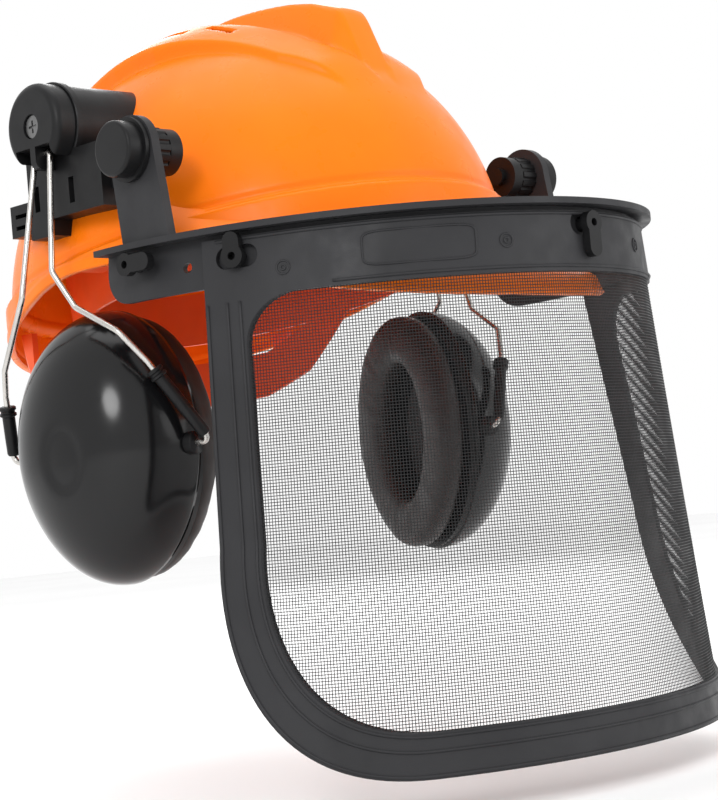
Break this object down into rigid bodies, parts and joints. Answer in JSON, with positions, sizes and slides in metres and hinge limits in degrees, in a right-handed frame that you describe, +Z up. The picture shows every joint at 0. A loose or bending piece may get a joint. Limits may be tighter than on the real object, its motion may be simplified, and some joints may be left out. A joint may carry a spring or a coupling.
{
  "type": "hard hat",
  "caption": "Ridged safety helmet with a tilting woven-mesh face visor and two ear muffs on sprung wire yokes, with headband suspension inside.",
  "frame": {"origin": "middle plane of the helmet over the ear line, level with the top of the visor bracket's flange, where the head mount sits", "axes": "+X wearer's left, -Y front, +Z up towards the crown"},
  "size_m": [0.2644, 0.3299, 0.3312],
  "materials": {
    "shell_orange": "satin moulded",
    "strap_orange": "smooth moulded",
    "sweat_pad": "padded fabric",
    "webbing": "woven",
    "lug_plastic": "moulded",
    "mesh_black": "black woven wire",
    "visor_grey": "fine moulded grain",
    "cup_black": "high gloss",
    "wire_steel": "drawn wire",
    "screw_steel": "dark plated",
    "foam": "open-cell foam",
    "cushion_vinyl": "soft vinyl",
    "adapter_black": "moulded"
  },
  "bodies": {
    "helmet": {"crown_straps": "webbing", "headband": "strap_orange", "nape_strap": "strap_orange", "nape_tabs": "strap_orange", "pivot_bolt_left": "adapter_black", "pivot_bolt_right": "adapter_black", "pivot_knob_left": "adapter_black", "pivot_knob_right": "adapter_black", "shell": "shell_orange", "shell_peak": "shell_orange", "slot_adapter_left": "adapter_black", "slot_adapter_right": "adapter_black", "suspension_lugs": "lug_plastic", "sweatband": "sweat_pad", "visor_arm_left": "adapter_black", "visor_arm_right": "adapter_black"},
    "visor": {"visor_bracket": "visor_grey", "visor_frame": "visor_grey", "visor_mesh": "mesh_black"},
    "latch_centre": {"latch_centre": "adapter_black"},
    "latch_side_left": {"latch_side_left": "adapter_black"},
    "latch_rear_left": {"latch_rear_left": "adapter_black"},
    "hub_left": {"muff_hub_left": "adapter_black", "hub_screw_left": "screw_steel"},
    "yoke_left": {"wire_yoke_left": "wire_steel", "wire_sleeves_left": "adapter_black"},
    "cup_left": {"ear_cup_left": "cup_black", "cup_plate_left": "adapter_black", "foam_liner_left": "foam", "ear_cushion_left": "cushion_vinyl"},
    "latch_side_right": {"latch_side_right": "adapter_black"},
    "latch_rear_right": {"latch_rear_right": "adapter_black"},
    "hub_right": {"muff_hub_right": "adapter_black", "hub_screw_right": "screw_steel"},
    "yoke_right": {"wire_yoke_right": "wire_steel", "wire_sleeves_right": "adapter_black"},
    "cup_right": {"ear_cup_right": "cup_black", "cup_plate_right": "adapter_black", "foam_liner_right": "foam", "ear_cushion_right": "cushion_vinyl"}
  },
  "joints": [
    {"name": "visor_tilt", "type": "hinge", "parent": "helmet", "child": "visor", "pos_m": [0, 0.003, 0.0373], "axis": [-1, 0, 0], "range_deg": [0, 98]},
    {"name": "latch_centre_turn", "type": "hinge", "parent": "visor", "child": "latch_centre", "pos_m": [0, -0.12692, -0.0096], "axis": [0, -1, 0], "range_deg": [-90, 90]},
    {"name": "latch_side_left_turn", "type": "hinge", "parent": "visor", "child": "latch_side_left", "pos_m": [0.11024, -0.0435, -0.0124], "axis": [0.9316, -0.3635, 0], "range_deg": [-90, 90]},
    {"name": "latch_rear_left_turn", "type": "hinge", "parent": "visor", "child": "latch_rear_left", "pos_m": [0.12062, 0.00598, -0.0085], "axis": [0.9978, -0.0659, 0], "range_deg": [0, 90]},
    {"name": "muff_park_left", "type": "hinge", "parent": "helmet", "child": "hub_left", "pos_m": [0.117, 0.0665, 0.0593], "axis": [1, 0, 0], "range_deg": [-5, 8]},
    {"name": "yoke_swing_left", "type": "hinge", "parent": "hub_left", "child": "yoke_left", "pos_m": [0.117, 0.0665, 0.048], "axis": [0, -1, 0], "range_deg": [-2, 28]},
    {"name": "cup_tilt_left", "type": "hinge", "parent": "yoke_left", "child": "cup_left", "pos_m": [0.10082, 0.05855, -0.08], "axis": [0.2419, 0.9703, 0], "range_deg": [-8, 8]},
    {"name": "latch_side_right_turn", "type": "hinge", "parent": "visor", "child": "latch_side_right", "pos_m": [-0.11024, -0.0435, -0.0124], "axis": [-0.9316, -0.3635, 0], "range_deg": [-90, 90]},
    {"name": "latch_rear_right_turn", "type": "hinge", "parent": "visor", "child": "latch_rear_right", "pos_m": [-0.12062, 0.00598, -0.0085], "axis": [0.9978, 0.0659, 0], "range_deg": [0, 90]},
    {"name": "muff_park_right", "type": "hinge", "parent": "helmet", "child": "hub_right", "pos_m": [-0.117, 0.0665, 0.0593], "axis": [1, 0, 0], "range_deg": [-5, 8]},
    {"name": "yoke_swing_right", "type": "hinge", "parent": "hub_right", "child": "yoke_right", "pos_m": [-0.117, 0.0665, 0.048], "axis": [0, 1, 0], "range_deg": [-2, 28]},
    {"name": "cup_tilt_right", "type": "hinge", "parent": "yoke_right", "child": "cup_right", "pos_m": [-0.10082, 0.05855, -0.08], "axis": [-0.2419, 0.9703, 0], "range_deg": [-8, 8]}
  ]
}
